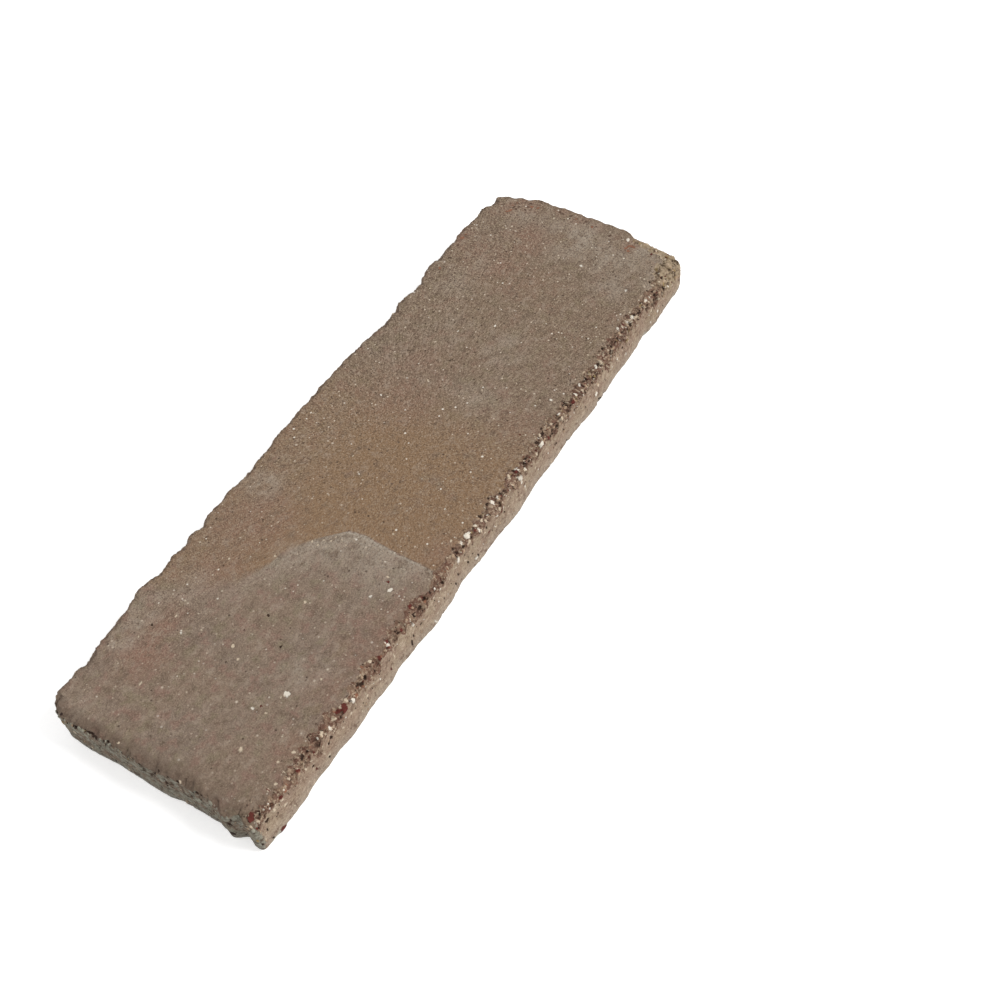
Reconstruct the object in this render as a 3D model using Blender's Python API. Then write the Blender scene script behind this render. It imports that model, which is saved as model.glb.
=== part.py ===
"""A brick slip: the thin facing slab that is sawn off one face of a fired clay brick.

It is one solid, and it lies with its flat sawn back up and its natural face down.
+X runs along its length, towards the end with the worn corner. +Y runs across its
width, towards the crisp long side. +Z runs through its thickness. The origin is
under the middle of the slip, on the level that it rests on. Lengths are in metres.

The solid starts as a cube that is cut into stations along and across it, and into
rings up its sides. One rule, place_vertex, then moves each vertex from the cube to
its place on the slip. A place in plan is given as u along the length and v across
the width, both from -1 to 1.
"""

from math import cos, hypot, pi, sin

import bmesh
import bpy
from mathutils import Vector, noise

# Overall size of the slip, over its outermost bumps
LENGTH = 0.2138
WIDTH = 0.0686
THICKNESS = 0.0126

# Line of each side in plan: the place along it, and how far it is set back there
NEAR_END_LINE = (
    (-0.0320, 0.0008), (-0.0295, 0.0020), (-0.0255, 0.0001), (-0.0225, 0.0010),
    (-0.0200, 0.0017), (-0.0150, 0.0019), (-0.0100, 0.0018), (-0.0050, 0.0011),
    (0.0000, 0.0012), (0.0060, 0.0017), (0.0140, 0.0019), (0.0230, 0.0018),
    (0.0290, 0.0023),
)
FAR_END_LINE = (
    (-0.0290, 0.0034), (-0.0250, 0.0029), (-0.0200, 0.0033), (-0.0170, 0.0033),
    (-0.0130, 0.0018), (-0.0060, 0.0013), (0.0020, 0.0007), (0.0100, 0.0003),
    (0.0140, 0.0000), (0.0195, 0.0000), (0.0240, 0.0009), (0.0290, 0.0020),
    (0.0330, 0.0032),
)
BROKEN_SIDE_LINE = (
    (-0.1016, 0.0003), (-0.0931, 0.0001), (-0.0871, 0.0006), (-0.0816, 0.0002),
    (-0.0756, 0.0008), (-0.0726, 0.0005), (-0.0641, 0.0004), (-0.0551, 0.0003),
    (-0.0496, 0.0011), (-0.0436, 0.0007), (-0.0351, 0.0000), (-0.0291, 0.0002),
    (-0.0206, 0.0011), (-0.0116, 0.0006), (-0.0001, 0.0004), (0.0294, 0.0008),
    (0.0494, 0.0005), (0.0664, 0.0010), (0.0744, 0.0009), (0.0804, 0.0015),
    (0.0839, 0.0008), (0.0874, 0.0003), (0.0984, 0.0005),
)
CRISP_SIDE_LINE = (
    (-0.0946, 0.0021), (-0.0906, 0.0023), (-0.0861, 0.0015), (-0.0806, 0.0027),
    (-0.0756, 0.0011), (-0.0726, 0.0016), (-0.0691, 0.0000), (-0.0646, 0.0005),
    (-0.0606, 0.0026), (-0.0576, 0.0003), (-0.0491, 0.0015), (-0.0456, 0.0004),
    (-0.0426, 0.0018), (-0.0366, 0.0009), (-0.0311, 0.0005), (-0.0256, 0.0014),
    (-0.0216, 0.0012), (0.0009, 0.0000), (0.0244, 0.0004), (0.0474, 0.0024),
    (0.0514, 0.0019), (0.0564, 0.0020), (0.0604, 0.0027), (0.0674, 0.0011),
    (0.0744, 0.0012), (0.0854, 0.0011), (0.0964, 0.0015), (0.1045, 0.0027),
)

# Corners in plan, seen on the sawn back
FAR_BROKEN_CORNER_RADIUS = 0.0050
FAR_CRISP_CORNER_RADIUS = 0.0026
NEAR_BROKEN_CORNER_RADIUS = 0.0012
NEAR_CRISP_CORNER_RADIUS = 0.0052

# The far corner beside the broken arris is worn like a pebble. Its wear starts to
# fade at a share of its reach.
WORN_CORNER_REACH = 0.042
WORN_ARRIS_REACH = 0.021
WORN_CORNER_RADIUS = 0.0030
WORN_CORNER_BREAK = 0.0022
WEAR_FADE_START = 0.3

# Arrises of the sawn back: how far in they are broken where the saw tore grains out.
# The least break is a share of the whole, and the raggedness is two sizes of noise.
BROKEN_LONG_ARRIS = 0.0030
CRISP_LONG_ARRIS = 0.0009
NEAR_END_ARRIS = 0.0020
FAR_END_ARRIS = 0.0007
BREAK_LEAST = 0.22
BREAK_STEEPNESS = 1.35
BREAK_PITCH = 0.0052
BREAK_SWELL = 0.5
BREAK_RIPPLE = 0.4
BREAK_RIPPLE_RATE = 2.3
BREAK_WHOLE_BELOW = 0.2
BREAK_FULL_ABOVE = 0.9

# Notch that the saw left in the crisp long arris, near the far end
NOTCH_FROM_FAR_END = 0.0048
NOTCH_LENGTH = 0.0044
NOTCH_DEPTH = 0.0016

# Small waves on the narrow sides, which are strips of the brick's own moulded faces
SIDE_WAVE = 0.0006
SIDE_WAVE_PITCH = 0.0110

# Natural face underneath: rounded arrises, and shallow hollows between pressed flats.
# Within the rim of the face, the hollows shrink to a share of their depth.
LONG_FACE_ARRIS_RADIUS = 0.0009
END_FACE_ARRIS_RADIUS = 0.0018
FACE_ARRIS_BLEND = 0.0120
FACE_HOLLOW = 0.0013
FACE_HOLLOW_PITCH = 0.0280
FACE_RIM = 0.0090
HOLLOW_AT_RIM = 0.25
HOLLOW_STRETCH = 1.4
HOLLOW_RIPPLE = 0.35
HOLLOW_RIPPLE_RATE = 2.1
HOLLOW_FULL_ABOVE = 0.7

# Distance in noise space that keeps the patterns of opposite sides apart
PATTERN_GAP = 40.0

# Spacing of the stations, and the number of rings in each part of a side
STATION_PITCH = 0.0025
ROUND_RINGS = 2
SIDE_RINGS = 3
BREAK_RINGS = 2
LAST_RING = ROUND_RINGS + SIDE_RINGS + BREAK_RINGS

# The rounded and the broken part of a side each take at most this share of the thickness
MOST_OF_SIDE = 0.48

FIRED_CLAY_COLOUR = (0.240, 0.178, 0.126, 1.0)
FIRED_CLAY_ROUGHNESS = 0.92


def remove_old_objects():
    """Empty the scene."""
    for old in list(bpy.data.objects):
        bpy.data.objects.remove(old, do_unlink=True)


def fired_clay_material():
    """Dull brown fired clay."""
    material = bpy.data.materials.new("fired_clay")
    material.use_nodes = True
    shader = material.node_tree.nodes["Principled BSDF"]
    shader.inputs["Base Color"].default_value = FIRED_CLAY_COLOUR
    shader.inputs["Roughness"].default_value = FIRED_CLAY_ROUGHNESS
    shader.inputs["Metallic"].default_value = 0.0
    material.diffuse_color = FIRED_CLAY_COLOUR
    return material


def smooth_rise(value, low, high):
    """0 below low, 1 above high, and a smooth rise between them."""
    share = min(max((value - low) / (high - low), 0.0), 1.0)
    return share * share * (3.0 - 2.0 * share)


def set_back(line, place):
    """How far a side is set back at this place along it, going smoothly from entry to entry."""
    for (start, first), (stop, second) in zip(line, line[1:]):
        if place < stop:
            return first + (second - first) * smooth_rise(place, start, stop)
    return line[-1][1]


def nearness_to_worn_corner(u, v, reach):
    """1 at the worn corner, and 0 from one reach away in plan."""
    away = hypot(0.5 * LENGTH * (1.0 - u), 0.5 * WIDTH * (1.0 + v))
    return 1.0 - smooth_rise(away, WEAR_FADE_START * reach, reach)


def notch_depth(u, v):
    """The one notch in the crisp long arris."""
    if v < 0.0:
        return 0.0
    from_notch = abs(0.5 * LENGTH * (1.0 - u) - NOTCH_FROM_FAR_END)
    return NOTCH_DEPTH * (1.0 - smooth_rise(from_notch, 0.2 * NOTCH_LENGTH, 0.7 * NOTCH_LENGTH))


def break_depth(u, v, along_end):
    """How far in the arris of the sawn back is broken at this place."""
    if along_end:
        reach = FAR_END_ARRIS if u > 0.0 else NEAR_END_ARRIS
        spot = Vector((u * PATTERN_GAP, 0.5 * v * WIDTH / BREAK_PITCH, 0.0))
    else:
        reach = CRISP_LONG_ARRIS if v > 0.0 else BROKEN_LONG_ARRIS
        spot = Vector((0.5 * u * LENGTH / BREAK_PITCH, v * PATTERN_GAP, 0.0))
    ragged = 0.5 + BREAK_SWELL * noise.noise(spot)
    ragged += BREAK_RIPPLE * noise.noise(spot * BREAK_RIPPLE_RATE)
    share = smooth_rise(ragged, BREAK_WHOLE_BELOW, BREAK_FULL_ABOVE)
    depth = reach * (BREAK_LEAST + (1.0 - BREAK_LEAST) * share)
    depth += WORN_CORNER_BREAK * nearness_to_worn_corner(u, v, WORN_ARRIS_REACH)
    if not along_end:
        depth += notch_depth(u, v)
    return min(depth, MOST_OF_SIDE * THICKNESS / BREAK_STEEPNESS)


def side_depth(u, v, height, along_end):
    """How far the moulded side at this place lies inside the overall size."""
    if along_end:
        place = 0.5 * v * WIDTH
        line = FAR_END_LINE if u > 0.0 else NEAR_END_LINE
        spot = Vector((u * PATTERN_GAP, place / SIDE_WAVE_PITCH, height / SIDE_WAVE_PITCH))
    else:
        place = 0.5 * u * LENGTH
        line = CRISP_SIDE_LINE if v > 0.0 else BROKEN_SIDE_LINE
        spot = Vector((place / SIDE_WAVE_PITCH, v * PATTERN_GAP, height / SIDE_WAVE_PITCH))
    return set_back(line, place) + SIDE_WAVE * (0.5 + noise.noise(spot))


def face_arris_radius(u, v):
    """Radius of the arris between a side and the natural face."""
    from_end = 0.5 * LENGTH * (1.0 - abs(u))
    end_share = 1.0 - smooth_rise(from_end, 0.0, FACE_ARRIS_BLEND)
    radius = LONG_FACE_ARRIS_RADIUS + end_share * (END_FACE_ARRIS_RADIUS - LONG_FACE_ARRIS_RADIUS)
    radius += nearness_to_worn_corner(u, v, WORN_CORNER_REACH) * (WORN_CORNER_RADIUS - radius)
    return min(radius, MOST_OF_SIDE * THICKNESS)


def face_hollow(x, y, from_edge):
    """How far the natural face is hollow here, counted up from the level that it rests on."""
    spot = Vector((x, HOLLOW_STRETCH * y, 0.0)) / FACE_HOLLOW_PITCH
    swell = noise.noise(spot) + HOLLOW_RIPPLE * noise.noise(spot * HOLLOW_RIPPLE_RATE)
    share = HOLLOW_AT_RIM + (1.0 - HOLLOW_AT_RIM) * smooth_rise(from_edge, 0.0, FACE_RIM)
    return share * FACE_HOLLOW * smooth_rise(swell, 0.0, HOLLOW_FULL_ABOVE)


def ring_place(ring, radius, depth):
    """Height of a ring, and how far it is set in from the side.

    From the bottom up, the rings round the arris of the natural face, climb the
    side and then follow the break up to the sawn back.
    """
    break_foot = THICKNESS - depth * BREAK_STEEPNESS
    if ring <= ROUND_RINGS:
        turn = 0.5 * pi * ring / ROUND_RINGS
        return radius * (1.0 - cos(turn)), radius * (1.0 - sin(turn))
    if ring <= ROUND_RINGS + SIDE_RINGS:
        share = (ring - ROUND_RINGS) / SIDE_RINGS
        return radius + share * (break_foot - radius), 0.0
    share = (ring - ROUND_RINGS - SIDE_RINGS) / BREAK_RINGS
    return break_foot + share * (THICKNESS - break_foot), depth * share * share


def corner_radius(x, y):
    """Radius in plan of the corner on this side of both centre lines."""
    if x > 0.0:
        return FAR_CRISP_CORNER_RADIUS if y > 0.0 else FAR_BROKEN_CORNER_RADIUS
    return NEAR_CRISP_CORNER_RADIUS if y > 0.0 else NEAR_BROKEN_CORNER_RADIUS


def round_corner(x, y, half_length, half_width):
    """Bend the square corner region of the plan onto an arc."""
    radius = corner_radius(x, y)
    over_x = abs(x) - (half_length - radius)
    over_y = abs(y) - (half_width - radius)
    if over_x <= 0.0 or over_y <= 0.0:
        return x, y
    pull = max(over_x, over_y) / hypot(over_x, over_y)
    sign_x = 1.0 if x > 0.0 else -1.0
    sign_y = 1.0 if y > 0.0 else -1.0
    return (sign_x * (half_length - radius + over_x * pull),
            sign_y * (half_width - radius + over_y * pull))


def place_vertex(cube_point):
    """Where a point of the cube, whose sides lie at -1 and 1, goes on the slip."""
    u, v = cube_point.x, cube_point.y
    ring = round(0.5 * (cube_point.z + 1.0) * LAST_RING)
    end = 1.0 if u > 0.0 else -1.0
    side = 1.0 if v > 0.0 else -1.0

    end_height, end_inset = ring_place(ring, face_arris_radius(end, v),
                                       break_depth(end, v, True))
    side_height, side_inset = ring_place(ring, face_arris_radius(u, side),
                                         break_depth(u, side, False))
    if abs(u) < 1.0:
        height = side_height
    elif abs(v) < 1.0:
        height = end_height
    else:
        height = 0.5 * (end_height + side_height)

    half_length = 0.5 * LENGTH - end_inset - side_depth(end, v, height, True)
    half_width = 0.5 * WIDTH - side_inset - side_depth(u, side, height, False)
    x, y = round_corner(u * half_length, v * half_width, half_length, half_width)
    from_edge = min(half_length - abs(x), half_width - abs(y))
    hollow = face_hollow(x, y, from_edge) * (1.0 - height / THICKNESS)
    return Vector((x, y, height + hollow))


def cut_along(mesh, axis, pieces):
    """Cut every edge that runs along one axis of the cube into equal pieces."""
    edges = [edge for edge in mesh.edges
             if abs((edge.verts[1].co - edge.verts[0].co)[axis]) > 0.001]
    bmesh.ops.subdivide_edges(mesh, edges=edges, cuts=pieces - 1, use_grid_fill=True)


def merge_sawn_back(mesh):
    """Make the sawn back one flat face, with no vertex inside it."""
    top = [face for face in mesh.faces if face.normal.z > 0.5]
    bmesh.ops.dissolve_faces(mesh, faces=top, use_verts=False)


def fit_to_size(mesh):
    """Stretch the slip by the last few hundredths of a millimetre to its overall size."""
    for axis, size in enumerate((LENGTH, WIDTH, THICKNESS)):
        values = [vert.co[axis] for vert in mesh.verts]
        low, high = min(values), max(values)
        start = 0.0 if axis == 2 else -0.5 * size
        for vert in mesh.verts:
            vert.co[axis] = start + (vert.co[axis] - low) * size / (high - low)


def make_slip(collection):
    """The whole slip, as one closed solid."""
    mesh = bmesh.new()
    bmesh.ops.create_cube(mesh, size=2.0)
    cut_along(mesh, 0, round(LENGTH / STATION_PITCH))
    cut_along(mesh, 1, round(WIDTH / STATION_PITCH))
    cut_along(mesh, 2, LAST_RING)
    mesh.normal_update()
    merge_sawn_back(mesh)
    for vert in mesh.verts:
        vert.co = place_vertex(vert.co)
    fit_to_size(mesh)
    bmesh.ops.recalc_face_normals(mesh, faces=mesh.faces)

    data = bpy.data.meshes.new("brick_slip")
    mesh.to_mesh(data)
    mesh.free()
    data.materials.append(fired_clay_material())
    slip = bpy.data.objects.new("brick_slip", data)
    collection.objects.link(slip)
    return slip


def main():
    remove_old_objects()
    collection = bpy.data.collections.new("brick_slip_parts")
    bpy.context.scene.collection.children.link(collection)
    make_slip(collection)


main()
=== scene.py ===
"""The looks of the brick slip: a finely modelled skin over the CAD solid, and its studio.

The skin follows the same shape rule as the solid, with far smaller faces where the
sawn arris is broken and along the ends. Torn grains, cut grains and pits are modelled
in it, and their colours are kept on its vertices. Lengths are in metres, but for the
tables and the materials' sizes that say mm. A place in plan is given as u along the
length and v across the width, both from -1 to 1. Pixels are those of the photograph,
1000 by 1000.
"""

import random
from math import cos, hypot, pi, radians, sin, sqrt

import bmesh
import bpy
from mathutils import Matrix, Vector, kdtree, noise
from mathutils.bvhtree import BVHTree


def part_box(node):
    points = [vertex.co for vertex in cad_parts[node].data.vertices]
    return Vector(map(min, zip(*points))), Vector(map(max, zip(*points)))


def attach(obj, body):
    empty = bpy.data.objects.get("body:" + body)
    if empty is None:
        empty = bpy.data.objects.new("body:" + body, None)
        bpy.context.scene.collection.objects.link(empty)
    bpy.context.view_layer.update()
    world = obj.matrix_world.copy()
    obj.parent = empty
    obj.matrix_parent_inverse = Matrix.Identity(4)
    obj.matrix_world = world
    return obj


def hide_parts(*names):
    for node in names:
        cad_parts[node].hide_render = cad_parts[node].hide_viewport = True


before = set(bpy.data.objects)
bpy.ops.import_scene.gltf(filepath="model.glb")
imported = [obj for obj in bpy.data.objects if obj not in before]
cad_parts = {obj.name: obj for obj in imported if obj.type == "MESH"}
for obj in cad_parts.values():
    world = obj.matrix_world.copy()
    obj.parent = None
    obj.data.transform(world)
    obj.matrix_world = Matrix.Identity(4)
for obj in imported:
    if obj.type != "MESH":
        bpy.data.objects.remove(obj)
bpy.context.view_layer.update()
CAD_LOW, CAD_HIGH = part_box("brick_slip")

MM = 0.001
LENGTH = CAD_HIGH.x - CAD_LOW.x
WIDTH = CAD_HIGH.y - CAD_LOW.y
THICKNESS = CAD_HIGH.z - CAD_LOW.z

# Camera, fitted to the slip's outline in the photograph
PHOTO_SIZE = 1000.0
SENSOR = 36.0
FOCAL_PIXELS = 1488.0
CAMERA_TURN = radians(-50.59)
CAMERA_RISE = radians(49.66)
CAMERA_ROLL = radians(10.16)
CAMERA_DISTANCE = 398.6 * MM
CAMERA_TARGET = Vector((7.33 * MM, -27.02 * MM, 0.0))

# Line of each side in plan: place along it, and set-back, in mm. The crisp side's is
# traced more finely than in the part's source
NEAR_END_LINE = (
    (-32.0, 0.8), (-29.5, 2.0), (-25.5, 0.1), (-22.5, 1.0), (-20.0, 1.7), (-15.0, 1.9),
    (-10.0, 1.8), (-5.0, 1.1), (0.0, 1.2), (6.0, 1.7), (14.0, 1.9), (23.0, 1.8), (29.0, 2.3),
)
FAR_END_LINE = (
    (-29.0, 3.4), (-25.0, 2.9), (-20.0, 3.3), (-17.0, 3.3), (-13.0, 1.8), (-6.0, 1.3),
    (2.0, 0.7), (10.0, 0.3), (14.0, 0.0), (19.5, 0.0), (24.0, 0.9), (29.0, 2.0),
    (33.0, 3.2),
)
BROKEN_SIDE_LINE = (
    (-101.6, 0.3), (-93.1, 0.1), (-87.1, 0.6), (-81.6, 0.2), (-75.6, 0.8), (-72.6, 0.5),
    (-64.1, 0.4), (-55.1, 0.3), (-49.6, 1.1), (-43.6, 0.7), (-35.1, 0.0), (-29.1, 0.2),
    (-20.6, 1.1), (-11.6, 0.6), (-0.1, 0.4), (29.4, 0.8), (49.4, 0.5), (66.4, 1.0),
    (74.4, 0.9), (80.4, 1.5), (83.9, 0.8), (87.4, 0.3), (98.4, 0.5),
)
CRISP_SIDE_LINE = (
    (-104.6, 2.5), (-101.4, 2.1), (-98.3, 2.3), (-95.2, 2.0), (-93.2, 2.6), (-88.0, 1.9),
    (-82.3, 2.1), (-78.7, 1.4), (-75.1, 1.5), (-72.5, 0.7), (-68.3, 0.0), (-66.3, 0.2),
    (-62.1, 1.4), (-58.0, 1.1), (-55.9, 0.7), (-51.8, 1.5), (-47.6, 0.6), (-44.5, 1.6),
    (-39.9, 0.7), (-35.2, 0.9), (-31.6, 0.3), (-28.0, 1.0), (-23.8, 1.3), (0.9, 0.0),
    (24.4, 0.4), (47.7, 2.5), (51.4, 1.4), (54.0, 1.9), (61.2, 2.5), (64.3, 1.5),
    (69.5, 0.7), (73.7, 1.3), (77.8, 1.1), (82.0, 1.5), (85.6, 0.8), (90.3, 0.9),
    (95.5, 1.8), (99.1, 1.2), (101.0, 1.3), (105.9, 2.0),
)

# Shape of the solid, as in the part's source but for the notch's place
FAR_BROKEN_CORNER_RADIUS = 5.0 * MM
FAR_CRISP_CORNER_RADIUS = 2.6 * MM
NEAR_BROKEN_CORNER_RADIUS = 1.2 * MM
NEAR_CRISP_CORNER_RADIUS = 5.2 * MM
WORN_CORNER_REACH = 42.0 * MM
WORN_ARRIS_REACH = 21.0 * MM
WORN_CORNER_RADIUS = 3.0 * MM
WORN_CORNER_BREAK = 2.2 * MM
WEAR_FADE_START = 0.3
BROKEN_LONG_ARRIS = 3.0 * MM
CRISP_LONG_ARRIS = 0.9 * MM
NEAR_END_ARRIS = 2.0 * MM
FAR_END_ARRIS = 0.7 * MM
BREAK_LEAST = 0.22
BREAK_STEEPNESS = 1.35
BREAK_PITCH = 5.2 * MM
NOTCH_FROM_FAR_END = 3.2 * MM
NOTCH_LENGTH = 4.4 * MM
NOTCH_DEPTH = 1.6 * MM
SIDE_WAVE = 0.6 * MM
SIDE_WAVE_PITCH = 11.0 * MM
LONG_FACE_ARRIS_RADIUS = 0.9 * MM
END_FACE_ARRIS_RADIUS = 1.8 * MM
FACE_ARRIS_BLEND = 12.0 * MM
FACE_HOLLOW = 1.3 * MM
FACE_HOLLOW_PITCH = 28.0 * MM
FACE_RIM = 9.0 * MM
HOLLOW_AT_RIM = 0.25
PATTERN_GAP = 40.0
MOST_OF_SIDE = 0.48

# The sawn back's inner points follow the raggedness of its rim within this distance
RAGGED_REACH = 6.0 * MM

# Shares of the way up a side that the rounded arris and the break take
ROUND_SHARE = 0.2
BREAK_SHARE = 0.36

# How strongly grains are torn out along the broken arris: place in mm, and strength
TEAR_STRENGTHS = (
    (-107.0, 0.8), (-101.0, 0.7), (-96.0, 0.2), (-92.0, 0.3), (-87.0, 0.9), (-80.0, 0.9),
    (-74.0, 0.4), (-66.0, 0.5), (-55.0, 0.3), (-45.0, 0.4), (-30.0, 0.45), (-20.0, 0.55),
    (-5.0, 0.6), (10.0, 0.75), (30.0, 0.9), (60.0, 1.0), (107.0, 1.0),
)

# Zones of the skin. Shares are of the way up a side, or of the break's own share
NATURAL_FACE_STOPS = (0.10, 0.24)
NEAR_END_STOPS = (0.5 * MM, 2.5 * MM)
BROKEN_SIDE_STOP = 1.5 * MM
BREAK_FOOT_SHARE = 0.92
TORN_FOOT_SHARE = 0.30
SAWN_RIM_SHARE = 0.4
SAWN_RIM_SHARE_AT_NEAR_END = 0.70
BREAK_REACH = 1.05 * MM
WORN_BREAK_REACH = 3.4 * MM
BREAK_BLEND = 0.25 * MM

# Place along the broken arris up to which it has fewer pale grains
NEAR_BREAK_STOP = -22.0 * MM

# Place along the length from which the break is the worn corner's
CORNER_START = 96.0 * MM

# Height from which grains of the near end are those of its arris
END_ARRIS_START = 0.6 * THICKNESS

# Waves of the relief: length in mm, shift of the pattern, and height in mm on the sides
# and on the near end
RELIEF_WAVES = (
    (2.6, (0.0, 0.0, 0.0), 0.10, 0.08),
    (1.1, (7.0, 0.0, 0.0), 0.10, 0.12),
    (0.55, (0.0, 9.0, 0.0), 0.05, 0.07),
)
NATURAL_WAVE_HEIGHT = 0.05
CHIP_DEPTH = 0.40
CHIPS_AT_FAR_END = 0.35
CHIP_REACH = (0.2 * MM, 1.1 * MM)
BIG_TORN_GRAIN = 1.2 * MM
SMALL_TORN_GRAIN = 0.6 * MM

# How a grain or pit is pressed in, as shares of its radius but for the soft edge
GRAIN_SOFT_EDGE = 0.16 * MM
LEAST_SQUASH = 0.25
SQUASH_SPREAD = 0.55
GRAIN_HEIGHT = 0.35
CUT_PIT_DEPTH = 0.5
SMALL_GRAIN_BIAS = 2.6

# Widest faces of the skin, and how near to the broken side, to the other sides and to a
# grain the sawn back has faces half and a quarter as wide
CELL = 1.3 * MM
HALF_CELL_REACHES = (6.0 * MM, 2.8 * MM, 2.6 * MM)
QUARTER_CELL_REACHES = (5.0 * MM, 1.6 * MM, 1.2 * MM)
FACE_RIM_CELL_REACH = 3.0 * MM

# Marks in the skin's colours, painted shade but for the broken rim: where each one fades along
# the distance that it follows
HOLLOW_SHADE_DEPTH = 0.6 * MM
ARRIS_SHADE_REACH = 0.7 * MM
BROKEN_RIM_STOPS = (1.0 * MM, 5.5 * MM)
END_SHADE_START = 0.8 * MM
END_SHADE_REACH = 4.0 * MM
END_SHADE_FADE_STOPS = (4.0 * MM, 16.0 * MM)
END_SHADE_FADE_FROM_CRISP_SIDE = (20.0 * MM, 45.0 * MM)

# Light of the studio
WORLD_STRENGTH = 0.60
SUN_DIRECTION = (0.30, -0.66, 0.69)
SUN_STRENGTH = 1.85
SUN_SPREAD = radians(22.0)
FLOOR_SIZE = 6.0
FLOOR_GREY = 0.90
FLOOR_GLOW = 0.50

# Grains that the photograph shows one by one: pixel across, pixel down, and radius in
# hundredths of a mm
SAWN_GRAINS = {
    "white": (
        (287, 694, 95), (252, 709, 55), (390, 590, 75), (371, 596, 50), (181, 632, 50),
        (169, 621, 30), (359, 474, 30), (445, 509, 30), (381, 395, 42), (407, 378, 30),
        (551, 400, 45), (495, 326, 45), (458, 331, 35), (581, 266, 50), (594, 291, 35),
        (626, 291, 45), (628, 240, 85),
    ),
    "cream": (
        (282, 697, 50), (388, 577, 50), (305, 602, 50), (233, 646, 60), (238, 659, 40),
        (241, 749, 60), (282, 736, 40), (278, 762, 40), (284, 772, 35), (266, 713, 35),
        (321, 679, 35), (176, 616, 45), (201, 630, 40), (141, 683, 45), (139, 636, 30),
        (229, 559, 40), (216, 588, 30), (278, 522, 30), (353, 456, 35), (312, 542, 30),
        (352, 550, 30), (393, 534, 30), (428, 380, 35), (521, 415, 42), (459, 396, 30),
        (470, 397, 28), (482, 390, 30), (482, 399, 26), (540, 309, 35), (599, 268, 42),
        (559, 258, 30), (498, 263, 35), (536, 268, 28), (600, 290, 25), (588, 355, 35),
        (550, 366, 28), (312, 541, 30), (318, 545, 28), (324, 540, 30), (331, 541, 32),
        (326, 547, 28), (336, 537, 28), (342, 540, 28), (346, 545, 26), (275, 556, 40),
        (499, 306, 26), (533, 393, 28), (540, 400, 26), (252, 752, 30),
    ),
    "red": ((251, 817, 125), (261, 706, 40), (520, 435, 40), (388, 582, 45)),
    "rust": (
        (513, 205, 45), (517, 203, 40), (508, 211, 70), (511, 210, 55), (532, 207, 65),
        (538, 208, 55), (576, 219, 45), (592, 227, 50), (626, 248, 65), (630, 246, 65),
        (628, 251, 55), (635, 248, 50), (548, 428, 40), (462, 238, 80), (466, 234, 55),
        (440, 268, 60),
    ),
    "brown": (
        (514, 207, 65), (516, 209, 55), (519, 207, 45), (528, 207, 60), (531, 204, 55),
        (525, 210, 45), (560, 212, 60), (563, 214, 50), (571, 216, 65), (586, 222, 55),
        (625, 250, 35), (458, 245, 45), (610, 236, 60), (655, 251, 60), (450, 258, 50),
    ),
    "hole": (
        (268, 615, 55), (281, 646, 45), (152, 625, 40), (603, 305, 45), (607, 308, 30),
        (355, 512, 30), (180, 655, 25), (262, 717, 30),
    ),
}
ARRIS_GRAINS = {
    "white": (
        (542, 445, 95), (521, 478, 95), (517, 469, 65), (492, 503, 85), (497, 498, 60),
        (467, 536, 95), (461, 543, 60), (458, 560, 95), (476, 558, 60), (479, 530, 60),
        (440, 589, 50), (353, 700, 85), (388, 645, 60), (413, 625, 50), (433, 623, 45),
        (380, 679, 45), (548, 454, 45), (627, 322, 50), (646, 300, 50), (596, 394, 65),
        (576, 395, 50), (617, 359, 50), (668, 286, 45), (525, 486, 45),
    ),
    "cream": (
        (346, 700, 60), (370, 661, 55), (367, 696, 50), (394, 656, 45), (329, 754, 70),
        (311, 761, 65), (318, 773, 60), (306, 769, 50), (294, 752, 60), (451, 541, 45),
        (449, 579, 40), (535, 468, 45), (526, 495, 45), (551, 424, 55), (540, 435, 60),
        (598, 385, 50), (651, 311, 50), (645, 308, 40), (603, 354, 45), (606, 347, 45),
        (639, 334, 35), (567, 421, 50), (584, 394, 40), (635, 252, 45), (509, 477, 80),
        (504, 494, 45), (334, 732, 45), (282, 800, 60), (274, 810, 60), (268, 790, 45),
        (276, 784, 45), (259, 822, 60), (251, 827, 40), (75, 732, 55), (118, 743, 50),
        (180, 782, 45),
    ),
    "red": (
        (344, 708, 120), (338, 711, 80), (651, 254, 60), (410, 607, 70), (401, 630, 60),
        (379, 658, 70), (268, 790, 50), (526, 461, 60), (573, 402, 70), (666, 276, 50),
    ),
    "hole": (
        (537, 442, 70), (526, 458, 55), (524, 464, 55), (480, 516, 65), (487, 528, 45),
        (457, 553, 60), (443, 583, 55), (424, 599, 65), (420, 608, 65), (415, 615, 80),
        (459, 575, 50), (468, 563, 45), (500, 493, 55), (399, 633, 60), (387, 648, 60),
        (366, 677, 70), (362, 684, 70), (337, 711, 40), (332, 738, 60), (330, 743, 65),
        (303, 757, 70), (314, 766, 55), (414, 635, 35), (631, 324, 95), (655, 295, 60),
        (654, 300, 50), (652, 312, 45), (643, 308, 45), (623, 331, 60), (618, 338, 60),
        (599, 363, 100), (606, 366, 55), (594, 378, 55), (593, 383, 55), (611, 354, 55),
        (635, 315, 55), (612, 344, 50), (586, 377, 50), (557, 417, 50), (575, 410, 50),
        (268, 821, 70), (95, 738, 80), (92, 734, 60), (128, 759, 60), (158, 771, 50),
        (191, 796, 70), (216, 813, 80), (145, 774, 55), (85, 731, 50),
    ),
    "dark": ((233, 833, 75), (76, 727, 50), (61, 714, 45)),
}

# Edge of the pale dried film on the sawn back, by pixel
FILM_EDGE = (
    (236, 580), (250, 574), (268, 566), (280, 554), (302, 544), (324, 537), (350, 531),
    (366, 536), (380, 544), (400, 555), (420, 564), (434, 572),
)
FILM_DISTANCE_SPAN = 40.0 * MM

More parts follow.
